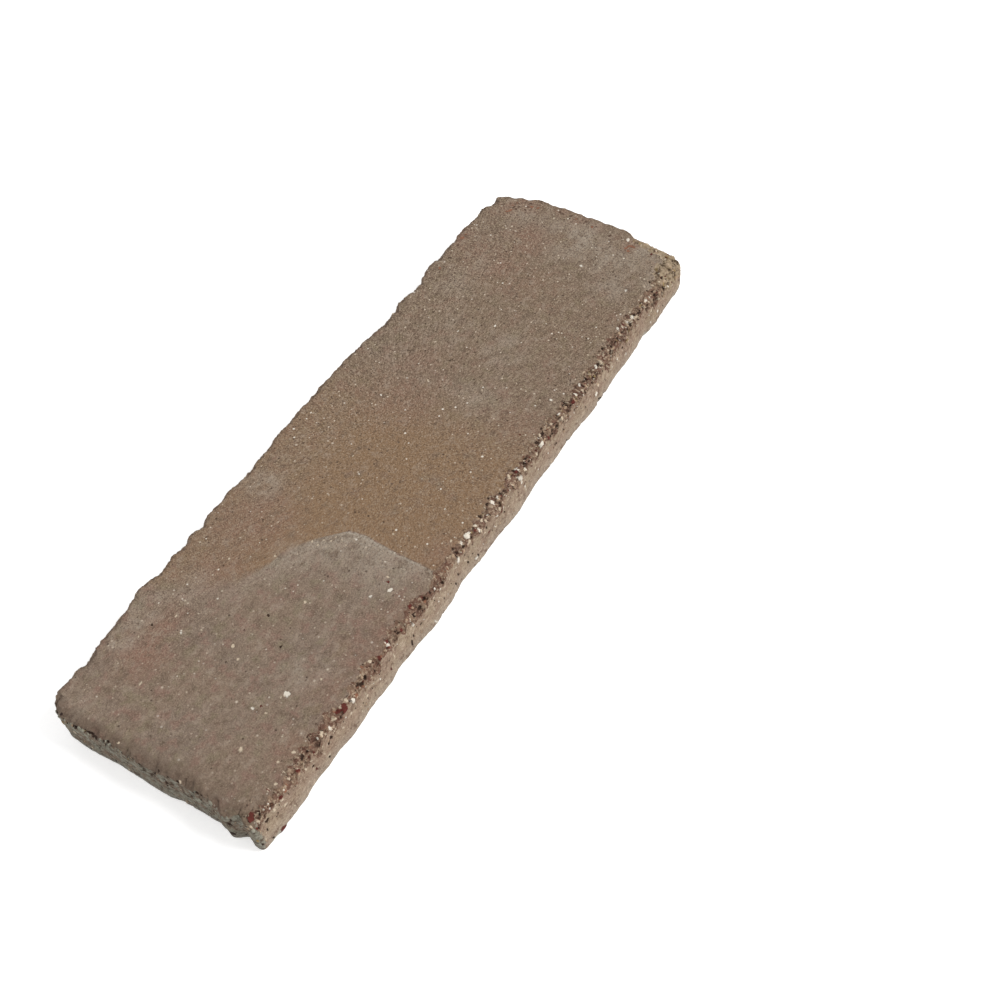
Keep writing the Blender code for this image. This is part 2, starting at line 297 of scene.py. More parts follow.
# Soft tints of the sawn back: pixel across, pixel down, radius in mm, strength
FILM_SPOTS = (
    (262, 484, 5.0, 0.8), (118, 640, 3.0, 1.0), (127, 632, 3.0, 1.0), (136, 623, 2.5, 0.9),
    (146, 610, 3.5, 0.7), (156, 600, 3.0, 0.8), (288, 552, 4.0, 0.5), (300, 672, 5.0, 0.7),
    (318, 672, 4.0, 0.5), (505, 350, 6.0, 0.7), (548, 222, 4.0, 0.5), (190, 585, 6.0, 0.4),
    (480, 398, 6.0, 0.5), (558, 230, 5.5, 0.6), (578, 240, 8.0, 1.0), (604, 254, 7.0, 1.0),
    (624, 268, 7.0, 0.7), (520, 216, 5.0, 0.5), (645, 282, 6.0, 0.7), (450, 330, 6.0, 0.4),
    (75, 705, 5.0, 0.5), (152, 607, 4.0, 0.9), (125, 637, 4.0, 0.9), (609, 290, 5.0, 0.7),
    (648, 254, 6.0, 0.9), (664, 272, 5.0, 0.8), (480, 265, 4.0, 0.5), (455, 285, 5.0, 0.5),
)
RED_SPOTS = (
    (260, 520, 10.0, 0.7), (400, 400, 10.0, 0.6), (420, 365, 8.0, 0.5), (500, 265, 7.0, 0.9),
    (520, 283, 6.0, 0.6), (480, 250, 6.0, 0.7), (168, 620, 5.0, 0.9), (140, 652, 7.0, 1.0),
    (385, 625, 6.0, 0.8), (360, 650, 6.0, 0.8), (300, 750, 5.0, 0.6), (222, 575, 7.0, 0.7),
    (514, 206, 2.5, 1.0), (523, 203, 2.5, 0.9), (533, 207, 3.0, 0.9), (508, 212, 2.5, 1.0),
    (532, 239, 6.5, 1.0), (564, 212, 2.5, 0.8), (581, 221, 3.0, 0.8), (596, 228, 2.5, 0.9),
    (629, 247, 2.5, 1.0), (330, 690, 6.0, 0.6), (390, 640, 5.0, 0.8), (520, 425, 6.0, 0.4),
    (445, 555, 6.0, 0.5), (462, 238, 4.0, 0.9),
)


def srgb(red, green, blue):
    """Linear colour that reads as these values, from 0 to 255, in the photograph."""
    linear = [((value / 255.0 + 0.055) / 1.055) ** 2.4 for value in (red, green, blue)]
    return (*linear, 1.0)


GRAIN_COLOURS = {
    "white": srgb(228, 219, 204),
    "cream": srgb(204, 186, 162),
    "tan": srgb(178, 152, 126),
    "ochre": srgb(152, 130, 92),
    "lichen": srgb(158, 154, 138),
    "rust": srgb(142, 100, 78),
    "brown": srgb(98, 77, 63),
    "red": srgb(98, 48, 40),
    "dark": srgb(52, 38, 32),
    # Pits are painted dark: painted shade inside them
    "hole": srgb(62, 45, 35),
}

# Random grains and pits of each zone: how many, least and greatest radius in mm, and the
# share of each kind
SCATTERED = {
    "break": (560, 0.20, 0.62, {
        "white": 7, "cream": 18, "tan": 14, "ochre": 6, "red": 6, "hole": 40}),
    "worn corner": (100, 0.20, 0.62, {
        "cream": 10, "tan": 14, "ochre": 14, "red": 2, "hole": 14}),
    "near break": (190, 0.20, 0.60, {
        "white": 5, "cream": 9, "tan": 12, "red": 10, "rust": 16, "hole": 36}),
    "side": (520, 0.20, 0.50, {"white": 10, "cream": 24, "tan": 12, "red": 3, "hole": 16}),
    "end": (150, 0.22, 0.60, {"cream": 5, "tan": 8, "ochre": 4, "hole": 40}),
    "end arris": (100, 0.34, 0.76, {"lichen": 20, "tan": 2, "ochre": 1, "hole": 20}),
    "natural": (260, 0.35, 1.30, {
        "white": 8, "cream": 8, "tan": 10, "ochre": 5, "red": 4, "hole": 44}),
}

random_grains = random.Random(11)


def smooth_rise(value, low, high):
    """0 below low, 1 above high, and a smooth rise between them."""
    share = min(max((value - low) / (high - low), 0.0), 1.0)
    return share * share * (3.0 - 2.0 * share)


def smooth_fall(value, low, high):
    """1 below low, 0 above high, and a smooth fall between them."""
    return 1.0 - smooth_rise(value, low, high)


def read_line(line, place):
    """Value of a traced line here, going smoothly from entry to entry."""
    place /= MM
    for (start, first), (stop, second) in zip(line, line[1:]):
        if place < stop:
            return first + (second - first) * smooth_rise(place, start, stop)
    return line[-1][1]


def waves(place, length):
    """Noise around 0 whose waves are about this many mm long."""
    return noise.noise(place / (length * MM))


def add_object(name, data):
    """A new object of the scene, with this data."""
    made = bpy.data.objects.new(name, data)
    bpy.context.scene.collection.objects.link(made)
    return made


# The camera and its rays

def camera_frame():
    """Place of the camera, and its right, up and back directions."""
    back = Vector((sin(CAMERA_TURN) * cos(CAMERA_RISE),
                   -cos(CAMERA_TURN) * cos(CAMERA_RISE),
                   sin(CAMERA_RISE)))
    level_right = Vector((0.0, 0.0, 1.0)).cross(back).normalized()
    level_up = back.cross(level_right)
    right = cos(CAMERA_ROLL) * level_right - sin(CAMERA_ROLL) * level_up
    up = sin(CAMERA_ROLL) * level_right + cos(CAMERA_ROLL) * level_up
    return CAMERA_TARGET + CAMERA_DISTANCE * back, right, up, back


def pixel_ray(across, down):
    """Start and direction of the camera's ray through a pixel of the photograph."""
    place, right, up, back = camera_frame()
    ray = (right * (across - 0.5 * PHOTO_SIZE) / FOCAL_PIXELS
           - up * (down - 0.5 * PHOTO_SIZE) / FOCAL_PIXELS - back)
    return place, ray.normalized()


def on_sawn_back(across, down):
    """The point of the sawn back's level that the photograph shows at a pixel."""
    start, ray = pixel_ray(across, down)
    return start + ray * ((THICKNESS - start.z) / ray.z)


def make_camera():
    """The camera that took the photograph."""
    place, right, up, back = camera_frame()
    data = bpy.data.cameras.new("photo_camera")
    data.sensor_width = SENSOR
    data.lens = FOCAL_PIXELS * SENSOR / PHOTO_SIZE
    data.clip_start = 0.01
    camera = add_object("photo_camera", data)
    turn = Matrix((right, up, back)).transposed().to_4x4()
    camera.matrix_world = Matrix.Translation(place) @ turn
    bpy.context.scene.camera = camera


# The shape rule of the solid

def nearness_to_worn_corner(u, v, reach):
    """1 at the worn corner, and 0 from one reach away in plan."""
    away = hypot(0.5 * LENGTH * (1.0 - u), 0.5 * WIDTH * (1.0 + v))
    return smooth_fall(away, WEAR_FADE_START * reach, reach)


def notch_depth(u, v):
    """The one notch in the crisp long arris."""
    if v < 0.0:
        return 0.0
    from_notch = abs(0.5 * LENGTH * (1.0 - u) - NOTCH_FROM_FAR_END)
    return NOTCH_DEPTH * smooth_fall(from_notch, 0.2 * NOTCH_LENGTH, 0.7 * NOTCH_LENGTH)


def pattern_spot(u, v, along_end, pitch, height=0.0):
    """Where the noise of a side is read, with each side far from the others."""
    if along_end:
        return Vector((u * PATTERN_GAP, 0.5 * v * WIDTH / pitch, height / pitch))
    return Vector((0.5 * u * LENGTH / pitch, v * PATTERN_GAP, height / pitch))


def break_depth(u, v, along_end, away):
    """How far in the arris of the sawn back is broken here, as felt this far away from it."""
    if along_end:
        reach = FAR_END_ARRIS if u > 0.0 else NEAR_END_ARRIS
    else:
        reach = CRISP_LONG_ARRIS if v > 0.0 else BROKEN_LONG_ARRIS
    spot = pattern_spot(u, v, along_end, BREAK_PITCH)
    ragged = 0.5 + 0.5 * noise.noise(spot) + 0.4 * noise.noise(spot * 2.3)
    if reach > FAR_END_ARRIS or not along_end:
        ragged += 0.20 * noise.noise(spot * 6.1) + 0.12 * noise.noise(spot * 13.0)
    depth = reach * (BREAK_LEAST + (1.0 - BREAK_LEAST) * smooth_rise(ragged, 0.2, 0.9))
    depth += WORN_CORNER_BREAK * nearness_to_worn_corner(u, v, WORN_ARRIS_REACH)
    if not along_end:
        depth += notch_depth(u, v)
    depth = min(depth, MOST_OF_SIDE * THICKNESS / BREAK_STEEPNESS)
    return depth + (0.5 * reach - depth) * smooth_rise(away, 0.0, RAGGED_REACH)


def side_depth(u, v, height, along_end):
    """How far the moulded side at this place lies inside the overall size."""
    if along_end:
        set_back = read_line(FAR_END_LINE if u > 0.0 else NEAR_END_LINE, 0.5 * v * WIDTH)
    else:
        set_back = read_line(CRISP_SIDE_LINE if v > 0.0 else BROKEN_SIDE_LINE, 0.5 * u * LENGTH)
    spot = pattern_spot(u, v, along_end, SIDE_WAVE_PITCH, height)
    return MM * set_back + SIDE_WAVE * (0.5 + noise.noise(spot))


def face_arris_radius(u, v):
    """Radius of the arris between a side and the natural face."""
    from_end = 0.5 * LENGTH * (1.0 - abs(u))
    end_share = smooth_fall(from_end, 0.0, FACE_ARRIS_BLEND)
    radius = LONG_FACE_ARRIS_RADIUS + end_share * (END_FACE_ARRIS_RADIUS - LONG_FACE_ARRIS_RADIUS)
    radius += nearness_to_worn_corner(u, v, WORN_CORNER_REACH) * (WORN_CORNER_RADIUS - radius)
    return min(radius, MOST_OF_SIDE * THICKNESS)


def face_hollow(x, y, from_edge):
    """How far the natural face is hollow here, counted up from the level that it rests on."""
    spot = Vector((x, 1.4 * y, 0.0)) / FACE_HOLLOW_PITCH
    swell = noise.noise(spot) + 0.35 * noise.noise(spot * 2.1)
    share = HOLLOW_AT_RIM + (1.0 - HOLLOW_AT_RIM) * smooth_rise(from_edge, 0.0, FACE_RIM)
    return share * FACE_HOLLOW * smooth_rise(swell, 0.0, 0.7)


def side_profile(climb, radius, depth):
    """Height and inset of a point this share of the way up a side."""
    break_foot = THICKNESS - depth * BREAK_STEEPNESS
    if climb <= ROUND_SHARE:
        turn = 0.5 * pi * climb / ROUND_SHARE
        return radius * (1.0 - cos(turn)), radius * (1.0 - sin(turn))
    if climb <= 1.0 - BREAK_SHARE:
        share = (climb - ROUND_SHARE) / (1.0 - BREAK_SHARE - ROUND_SHARE)
        return radius + share * (break_foot - radius), 0.0
    share = (climb - 1.0 + BREAK_SHARE) / BREAK_SHARE
    return break_foot + share * (THICKNESS - break_foot), depth * share ** 1.8


def corner_radius(x, y):
    """Radius in plan of the corner on this side of both centre lines."""
    if x > 0.0:
        return FAR_CRISP_CORNER_RADIUS if y > 0.0 else FAR_BROKEN_CORNER_RADIUS
    return NEAR_CRISP_CORNER_RADIUS if y > 0.0 else NEAR_BROKEN_CORNER_RADIUS


def round_corner(x, y, half_length, half_width):
    """Bend the square corner region of the plan onto an arc."""
    radius = corner_radius(x, y)
    over_x = abs(x) - (half_length - radius)
    over_y = abs(y) - (half_width - radius)
    if over_x <= 0.0 or over_y <= 0.0:
        return x, y
    pull = max(over_x, over_y) / hypot(over_x, over_y)
    sign_x = 1.0 if x > 0.0 else -1.0
    sign_y = 1.0 if y > 0.0 else -1.0
    return (sign_x * (half_length - radius + over_x * pull),
            sign_y * (half_width - radius + over_y * pull))


def place_vertex(cube_point):
    """Where a point of the cube, whose sides lie at -1 and 1, goes on the slip."""
    u, v = cube_point.x, cube_point.y
    climb = 0.5 * (cube_point.z + 1.0)
    end = 1.0 if u > 0.0 else -1.0
    side = 1.0 if v > 0.0 else -1.0
    from_end = 0.5 * LENGTH * (1.0 - abs(u))
    from_side = 0.5 * WIDTH * (1.0 - abs(v))
    end_height, end_inset = side_profile(climb, face_arris_radius(end, v),
                                         break_depth(end, v, True, from_end))
    side_height, side_inset = side_profile(climb, face_arris_radius(u, side),
                                           break_depth(u, side, False, from_side))
    if abs(u) < 1.0:
        height = side_height
    elif abs(v) < 1.0:
        height = end_height
    else:
        height = 0.5 * (end_height + side_height)
    half_length = 0.5 * LENGTH - end_inset - side_depth(end, v, height, True)
    half_width = 0.5 * WIDTH - side_inset - side_depth(u, side, height, False)
    x, y = round_corner(u * half_length, v * half_width, half_length, half_width)
    from_edge = min(half_length - abs(x), half_width - abs(y))
    hollow = face_hollow(x, y, from_edge) * (1.0 - height / THICKNESS)
    return Vector((x, y, height + hollow))


def fit_to_size(places):
    """Stretch these points to the overall size, as the solid is."""
    for axis in range(3):
        low = min(place[axis] for place in places)
        high = max(place[axis] for place in places)
        stretch = (CAD_HIGH[axis] - CAD_LOW[axis]) / (high - low)
        for place in places:
            place[axis] = CAD_LOW[axis] + (place[axis] - low) * stretch


# The skin, in cube space

def cut_along(mesh, axis, pieces):
    """Cut every edge that runs along one axis of the cube into equal pieces."""
    edges = [edge for edge in mesh.edges
             if abs((edge.verts[1].co - edge.verts[0].co)[axis]) > 0.001]
    bmesh.ops.subdivide_edges(mesh, edges=edges, cuts=pieces - 1, use_grid_fill=True)


def side_distances(point):
    """Distance in plan of a cube point from the near end, far end, broken and crisp side."""
    return (0.5 * LENGTH * (1.0 + point.x), 0.5 * LENGTH * (1.0 - point.x),
            0.5 * WIDTH * (1.0 + point.y), 0.5 * WIDTH * (1.0 - point.y))


def grain_is_near(point, margin):
    """Whether a grain of the sawn back lies this near to a point of the cube's top."""
    x, y = 0.5 * LENGTH * point.x, 0.5 * WIDTH * point.y
    return any(hypot(x - place.x, y - place.y) < radius + margin
               for place, radius, kind in sawn_grains)


def is_near_detail(point, broken_reach, other_reach, grain_reach):
    """Whether a point of the cube's top lies this near to a side or to a grain."""
    near, far, broken, crisp = side_distances(point)
    return (broken < broken_reach or min(near, far, crisp) < other_reach
            or grain_is_near(point, grain_reach))


def wants_half_cells(point):
    """Whether the skin's faces here are half the widest size or less."""
    if abs(point.z) < 0.999:
        return True
    if point.z < 0.0:
        return min(side_distances(point)) < FACE_RIM_CELL_REACH
    return is_near_detail(point, *HALF_CELL_REACHES)


def wants_quarter_cells(point):
    """Whether the skin's faces here are a quarter of the widest size."""
    if abs(point.z) > 0.999:
        return point.z > 0.0 and is_near_detail(point, *QUARTER_CELL_REACHES)
    near, far, broken, crisp = side_distances(point)
    if near < 0.01 * MM:
        return True
    return point.z > (-0.2 if broken < 0.01 * MM else 0.5)


def cut_faces_in_four(mesh, wanted):
    """Cut in four the faces whose middle is wanted."""
    edges = set()
    for face in mesh.faces:
        if wanted(face.calc_center_median()):
            edges.update(face.edges)
    bmesh.ops.subdivide_edges(mesh, edges=list(edges), cuts=1, use_grid_fill=True)


def make_cube_skin():
    """The cube that becomes the skin, with its faces cut to the sizes that they need."""
    mesh = bmesh.new()
    bmesh.ops.create_cube(mesh, size=2.0)
    cut_along(mesh, 0, round(LENGTH / CELL))
    cut_along(mesh, 1, round(WIDTH / CELL))
    cut_along(mesh, 2, round(THICKNESS / CELL))
    cut_faces_in_four(mesh, wants_half_cells)
    cut_faces_in_four(mesh, wants_quarter_cells)
    bmesh.ops.triangulate(mesh, faces=[face for face in mesh.faces if len(face.verts) > 4])
    mesh.verts.index_update()
    return mesh


# Zones of the skin, which choose its relief and its colour

def tear_strength(place):
    """How strongly grains are torn out of the broken arris at this place along it."""
    return read_line(TEAR_STRENGTHS, place.x)


def zone_weights(cube_point, place):
    """How far a point belongs to the break, the natural face, the near end and the sawn back."""
    wobble = waves(place, 2.2) + 0.6 * waves(place, 0.9)
    climb = 0.5 * (cube_point.z + 1.0)
    near, far, broken, crisp = side_distances(cube_point)
    natural = smooth_fall(climb + 0.06 * wobble, *NATURAL_FACE_STOPS)
    worn = nearness_to_worn_corner(cube_point.x, cube_point.y, WORN_ARRIS_REACH)
    tear = tear_strength(place)
    if abs(cube_point.z) < 0.9999:
        at_near_end = smooth_fall(near + 1.2 * MM * wobble, *NEAR_END_STOPS)
        elsewhere = 1.0 - at_near_end
        at_broken_side = max(smooth_fall(broken, 0.0, BROKEN_SIDE_STOP), worn)
        foot = 1.0 - BREAK_SHARE * (BREAK_FOOT_SHARE + TORN_FOOT_SHARE * max(tear, worn))
        in_break = at_broken_side * smooth_rise(climb + 0.09 * wobble, foot - 0.04, foot + 0.04)
        rim = 1.0 - BREAK_SHARE * (SAWN_RIM_SHARE_AT_NEAR_END * at_near_end
                                   + SAWN_RIM_SHARE * elsewhere)
        sawn = (1.0 - at_broken_side * elsewhere) * smooth_rise(
            climb + (0.08 + 0.12 * at_near_end) * wobble, rim - 0.03, rim + 0.03)
        return in_break * elsewhere, natural, at_near_end, sawn
    if climb < 0.5:
        return 0.0, natural, 0.0, 0.0
    reach = max((BREAK_REACH * tear + WORN_BREAK_REACH * worn) * (0.7 + 0.9 * wobble), 0.0)
    stops = (0.6 * reach, reach + BREAK_BLEND)
    in_break = smooth_rise(tear, 0.1, 0.4) * smooth_fall(broken, *stops)
    at_worn_end = smooth_rise(worn, 0.05, 0.4) * smooth_fall(far, *stops)
    return max(in_break, at_worn_end), 0.0, 0.0, 1.0


def torn_grain(place, size):
    """Lot of the nearest grain of the torn body, from 0 to 1, and how far its edge is."""
    distances, points = noise.voronoi(place / size)
    lot = 0.5 + 0.5 * noise.cell(points[0] * 91.7)
    return lot, distances[1] - distances[0]


def arris_chips(cube_point, place):
    """How deep the rim of the sawn back is chipped here, from 0 to 1."""
    near, far, broken, crisp = side_distances(cube_point)
    from_rim = 0.5 * THICKNESS * (1.0 - cube_point.z)
    if cube_point.z > 0.999:
        from_rim = min(near, far, broken, crisp)
    chips = 0.6 * smooth_rise(waves(place, 1.9), 0.0, 0.45)
    chips += 0.4 * smooth_rise(waves(place, 0.8), 0.0, 0.5)
    from_far_end = smooth_rise(far, 0.0, 2.5 * MM)
    chips *= from_far_end + CHIPS_AT_FAR_END * (1.0 - from_far_end)
    return chips * smooth_fall(from_rim, *CHIP_REACH)


def relief(place, zones, chips):
    """How far the surface stands out here, before its separate grains and pits."""
    in_break, natural, at_near_end, sawn = zones
    coarse = waves(place, RELIEF_WAVES[0][0])
    side_waves, end_waves = 0.0, 0.0
    for length, shift, side_height, end_height in RELIEF_WAVES:
        wave = noise.noise(place / (length * MM) + Vector(shift))
        side_waves += side_height * wave
        end_waves += end_height * wave
    height = max(1.0 - in_break - sawn - at_near_end, 0.0) * side_waves
    height += at_near_end * (1.0 - natural) * end_waves
    height += natural * NATURAL_WAVE_HEIGHT * coarse - CHIP_DEPTH * chips * (1.0 - in_break)
    if in_break > 0.0:
        big_lot, big_edge = torn_grain(place, BIG_TORN_GRAIN)
        small_lot, _ = torn_grain(place, SMALL_TORN_GRAIN)
        torn = 0.50 * (big_lot - 0.55) - 0.20 * smooth_fall(big_edge, 0.0, 0.35)
        torn += 0.40 * (small_lot - 0.5) + 0.35 * coarse
        height += in_break * torn * (0.45 + 0.55 * tear_strength(place))
    return height * MM


# Grains and pits

def list_grains(groups, place_on):
    """Place, radius and kind of each grain of these groups. A missed one is left out."""
    grains = []
    for kind, entries in groups.items():
        for across, down, radius in entries:
            place = place_on(across, down)
            if place is not None:
                grains.append((place, radius / 100.0 * MM, kind))
    return grains


def pick_kind(kinds):
    """One kind of grain, by its share."""
    draw = random_grains.random() * sum(kinds.values())
    for kind, share in kinds.items():
        draw -= share
        if draw <= 0.0:
            break
    return kind


def scatter(candidates, count, least, most, kinds):
    """Grains at random places among these. Small ones are the most common."""
    grains = []
    for _ in range(count):
        place = candidates[random_grains.randrange(len(candidates))]
        size = least + (most - least) * random_grains.random() ** SMALL_GRAIN_BIAS
        grains.append((place, size, pick_kind(kinds)))
    return grains


def grain_zone(place, zone):
    """Name of the zone whose random grains may lie here, or none."""
    in_break, natural, at_near_end, sawn = zone
    if in_break > 0.6 and place.x < NEAR_BREAK_STOP:
        return "near break"
    if in_break > 0.6:
        return "worn corner" if place.x > CORNER_START else "break"
    if at_near_end > 0.5 and sawn < 0.5:
        return "end"
    if natural > 0.9:
        return "natural"
    return "side" if sawn < 0.2 else None


def scatter_all(places, zones):
    """Random grains and pits of each zone of the skin."""
    candidates = {name: [] for name in SCATTERED}
    for place, zone in zip(places, zones):
        name = grain_zone(place, zone)
        if name is not None:
            candidates[name].append(place)
    candidates["end arris"] = [place for place in candidates["end"] if place.z > END_ARRIS_START]
    grains = []
    for name, (count, least, most, kinds) in SCATTERED.items():
        grains += scatter(candidates[name], count, least * MM, most * MM, kinds)
    return grains


def lift(places, normals, heights):
    """Each place, moved out along its normal."""
    return [place + normal * height for place, normal, height in zip(places, normals, heights)]


def press_grains(places, normals, zones, grains):
    """Push grains out of the skin and pits into it. Returns the colour of each vertex's grain."""
    tree = kdtree.KDTree(len(places))
    for index, place in enumerate(places):
        tree.insert(place, index)
    tree.balance()
    heights = [0.0] * len(places)
    colours = [(0.0, 0.0, 0.0, 0.0)] * len(places)
    for centre, radius, kind in grains:
        squash = LEAST_SQUASH + SQUASH_SPREAD * random_grains.random()
        turn = 2.0 * pi * random_grains.random()
        along = Vector((cos(turn), sin(turn), 0.0))
        for place, index, distance in tree.find_range(centre, 1.4 * radius + GRAIN_SOFT_EDGE):
            offset = place - centre
            stretched = offset + along * (offset.dot(along) * squash)
            away = stretched.length * (1.0 + 0.25 * waves(place, 0.45))
            weight = smooth_fall(away, radius - GRAIN_SOFT_EDGE, radius + GRAIN_SOFT_EDGE)
            if weight <= 0.0:
                continue
            dome = sqrt(max(1.0 - (away / (radius + GRAIN_SOFT_EDGE)) ** 2, 0.0))
            flush = zones[index][3] > 0.5 and zones[index][0] < 0.5
            if kind == "hole":
                depth = radius * dome * (CUT_PIT_DEPTH if flush else 1.0)
                heights[index] = min(heights[index], -depth)
            elif not flush:
                heights[index] = max(heights[index], GRAIN_HEIGHT * radius * dome)
            if weight >= colours[index][3]:
                colours[index] = (*GRAIN_COLOURS[kind][:3], weight)
    return lift(places, normals, heights), colours


# Tints of the sawn back

def list_spots(spots):
    """Place, radius and strength of each spot."""
    return [(on_sawn_back(across, down), radius * MM, strength)
            for across, down, radius, strength in spots]


def spot_weight(place, spots):
    """How strongly the spots tint this place."""
    weight = 0.0
    for centre, radius, strength in spots:
        away = hypot(place.x - centre.x, place.y - centre.y)
        if away < 2.0 * radius:
            weight = max(weight, strength * smooth_fall(away, 0.2 * radius, 1.7 * radius))
    return weight


def film_distance(place, edge):
    """How far inside the pale film this place lies, along the length."""
    if place.y > edge[0].y:
        return edge[0].x - 0.6 * (place.y - edge[0].y) - place.x
    for first, second in zip(edge, edge[1:]):
        if place.y > second.y:
            share = (first.y - place.y) / (first.y - second.y)
            return first.x + share * (second.x - first.x) - place.x
    return edge[-1].x - place.x


def skin_tints(cube_points, places):
    """Film distance, film, red and worn-corner weights of each vertex."""
    edge = [on_sawn_back(across, down) for across, down in FILM_EDGE]
    film, red = list_spots(FILM_SPOTS), list_spots(RED_SPOTS)
    tints = []
    for cube_point, place in zip(cube_points, places):
        worn = nearness_to_worn_corner(cube_point.x, cube_point.y, WORN_ARRIS_REACH)
        inside = min(max(0.5 + film_distance(place, edge) / FILM_DISTANCE_SPAN, 0.0), 1.0)
        tints.append((inside, spot_weight(place, film), spot_weight(place, red), worn))
    return tints


def skin_marks(cube_point, place, zone, height, chip):
    """Painted shade in the torn body's hollows, along the crisp arris, far end and chips, and
    along the near end, and nearness to the broken rim.
    """
    near, far, broken, crisp = side_distances(cube_point)
    # Painted shade: the torn body is darkened in its hollows, the deeper the darker
    hollow = min(max(-height / HOLLOW_SHADE_DEPTH, 0.0), 1.0)
    ragged = 1.0 + waves(place, 3.0) + 0.6 * waves(place, 1.0)
    # Painted shade along the crisp arris and the far end, and in the chips of the rim
    edge = smooth_fall(min(crisp, 2.0 * far), 0.0, ARRIS_SHADE_REACH * ragged)
    edge = min(0.5 * edge + 1.2 * chip, 1.0)
    rim = smooth_fall(broken, *BROKEN_RIM_STOPS) * tear_strength(place)
    # Painted shade where the sawn back rounds down to the near end, with a fainter painted shade
    # reaching further in away from the crisp side
    end_arris_shade = smooth_fall(near, END_SHADE_START, END_SHADE_REACH * max(ragged, 0.3))
    end_shade_fade = 0.25 * (1.0 - end_arris_shade) * smooth_fall(near, *END_SHADE_FADE_STOPS)
    end_arris_shade = 0.85 * end_arris_shade + end_shade_fade * smooth_rise(crisp, *END_SHADE_FADE_FROM_CRISP_SIDE)
    return hollow, edge * zone[3], rim * zone[3], end_arris_shade * zone[3]


def write_colours(data, name, values):
    """Keep four values per vertex under this name."""
    layer = data.attributes.new(name, "FLOAT_COLOR", "POINT")
    layer.data.foreach_set("color", [number for value in values for number in value])


def make_skin():
    """The whole visible surface of the slip, as one closed mesh."""
    mesh = make_cube_skin()
    cube_points = [vert.co.copy() for vert in mesh.verts]
    places = [place_vertex(point) for point in cube_points]
    fit_to_size(places)
    zones = [zone_weights(point, place) for point, place in zip(cube_points, places)]
    for vert, place in zip(mesh.verts, places):
        vert.co = place
    bmesh.ops.recalc_face_normals(mesh, faces=mesh.faces)
    mesh.normal_update()
    normals = [vert.normal.copy() for vert in mesh.verts]
    tree = BVHTree.FromBMesh(mesh)
    tints = skin_tints(cube_points, places)
    chips = [arris_chips(point, place) for point, place in zip(cube_points, places)]
    heights = [relief(place, zone, chip) for place, zone, chip in zip(places, zones, chips)]
    places = lift(places, normals, heights)
    grains = scatter_all(places, zones)
    grains += sawn_grains
    grains += list_grains(ARRIS_GRAINS, lambda across, down: tree.ray_cast(
        *pixel_ray(across, down))[0])
    places, colours = press_grains(places, normals, zones, grains)
    for vert, place in zip(mesh.verts, places):
        vert.co = [min(max(place[axis], CAD_LOW[axis]), CAD_HIGH[axis]) for axis in range(3)]
    for face in mesh.faces:
        face.smooth = True
    data = bpy.data.meshes.new("brick_slip_skin")
    mesh.to_mesh(data)
    mesh.free()
    marks = [skin_marks(*values) for values in zip(cube_points, places, zones, heights, chips)]
    for name, values in (("zones", zones), ("tints", tints), ("grains", colours),
                         ("marks", marks)):
        write_colours(data, name, values)
    data.materials.append(make_clay())
    print("skin triangles", sum(len(face.vertices) - 2 for face in data.polygons))
    return add_object("brick_slip_skin", data)


# Materials

